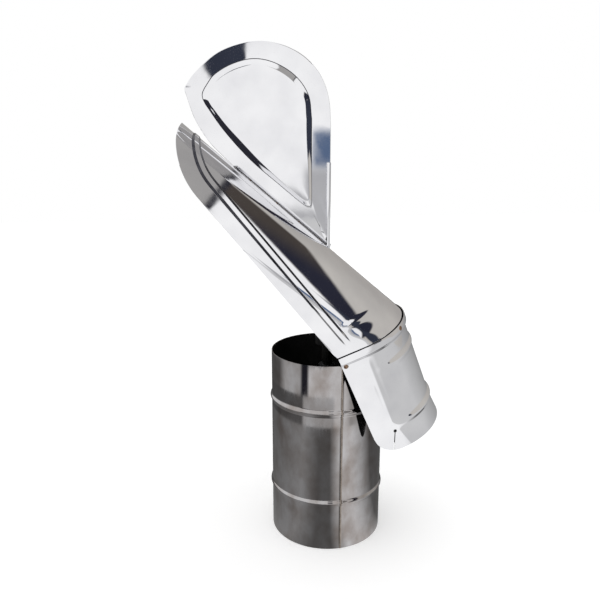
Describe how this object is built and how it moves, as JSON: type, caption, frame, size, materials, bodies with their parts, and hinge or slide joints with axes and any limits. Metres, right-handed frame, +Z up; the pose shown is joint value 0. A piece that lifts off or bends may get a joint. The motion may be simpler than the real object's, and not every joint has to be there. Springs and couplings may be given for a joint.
{
  "type": "rotating chimney cowl",
  "caption": "Round flue pipe with swaged beads carrying a wind-turned scoop hood, leaning half-round skirt and embossed teardrop tail vane on a central spindle.",
  "frame": {"origin": "centre of the pipe's foot, on the spindle's axis", "axes": "+Z up along the spindle, -X toward the hood's open lee side and the vane, +X toward the skirt, +Y across the hood"},
  "size_m": [0.3407, 0.1782, 0.6419],
  "materials": {
    "hood_sheet": "mirror polished stainless sheet",
    "pipe_sheet": "dull drawn stainless sheet with vertical streaks",
    "dark_steel": "blackened steel",
    "zinc_fixings": "zinc plated",
    "bearing_steel": "ground bearing steel",
    "bronze": "turned bronze",
    "rivet_steel": "heat-tinted stainless rivet"
  },
  "bodies": {
    "base": {"base_pipe": "pipe_sheet", "upper_cross_bar": "dark_steel", "lower_cross_bar": "dark_steel", "spindle": "dark_steel", "spindle_washers": "zinc_fixings", "spindle_nuts": "zinc_fixings", "bearing_inner_ring": "bearing_steel", "bearing_balls": "bearing_steel", "bearing_cage": "bronze", "journal_nut": "zinc_fixings"},
    "hood": {"bearing_outer_ring": "bearing_steel", "bearing_tube": "dark_steel", "guide_bush": "bronze", "tube_cap": "dark_steel", "hood_skirt": "hood_sheet", "hood_roof": "hood_sheet", "tail_vane": "hood_sheet", "hood_arm_near": "dark_steel", "hood_arm_far": "dark_steel", "roof_gusset": "dark_steel", "arm_rivets": "rivet_steel", "joint_rivets": "rivet_steel", "vane_rivets": "rivet_steel"}
  },
  "joints": [
    {"name": "hood_swivel", "type": "hinge", "parent": "base", "child": "hood", "pos_m": [0, 0, 0.255], "axis": [0, 0, 1], "continuous": true}
  ]
}
